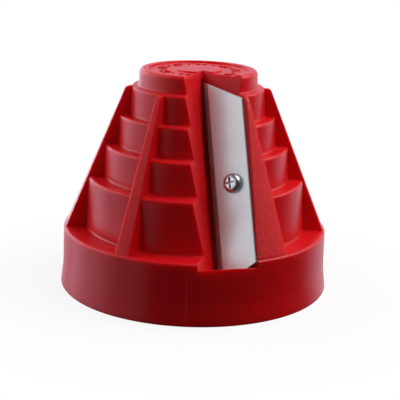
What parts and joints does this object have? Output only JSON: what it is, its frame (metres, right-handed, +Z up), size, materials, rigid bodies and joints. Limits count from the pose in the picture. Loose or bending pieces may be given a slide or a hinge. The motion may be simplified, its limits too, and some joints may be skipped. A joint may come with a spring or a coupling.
{
  "type": "pipe chamfering tool",
  "caption": "Hollow stepped cone of moulded plastic that bevels the end of a plastic pipe when turned by hand, with a steel blade screwed into a notch in its side.",
  "frame": {"origin": "centre of the foot plane, on the axis of the cone", "axes": "+Z up the axis from the open foot to the closed top; the blade faces -Y; +X to the right seen from the blade's side"},
  "size_m": [0.1354, 0.1354, 0.1093],
  "materials": {
    "body_plastic": "glossy moulded, with a matt grained block",
    "blade_steel": "ground",
    "screw_steel": "bright zinc plated",
    "insert_brass": "knurled"
  },
  "bodies": {
    "housing": {"body": "body_plastic", "threaded_insert": "insert_brass"},
    "cutter": {"blade": "blade_steel"},
    "screw": {"blade_screw": "screw_steel"}
  },
  "joints": [
    {"name": "blade_lift", "type": "slide", "parent": "housing", "child": "cutter", "axis": [-0.5433, -0.7875, 0.2909], "range_m": [0, 0.0064]},
    {"name": "screw_turn", "type": "hinge", "parent": "cutter", "child": "screw", "pos_m": [0.01967, -0.03672, 0.06064], "axis": [-0.5433, -0.7875, 0.2909], "range_deg": [0, 2880]}
  ],
  "couplings": [
    {"joint": "screw_turn", "follows": "blade_lift", "rad_per_m": 7853.9}
  ]
}
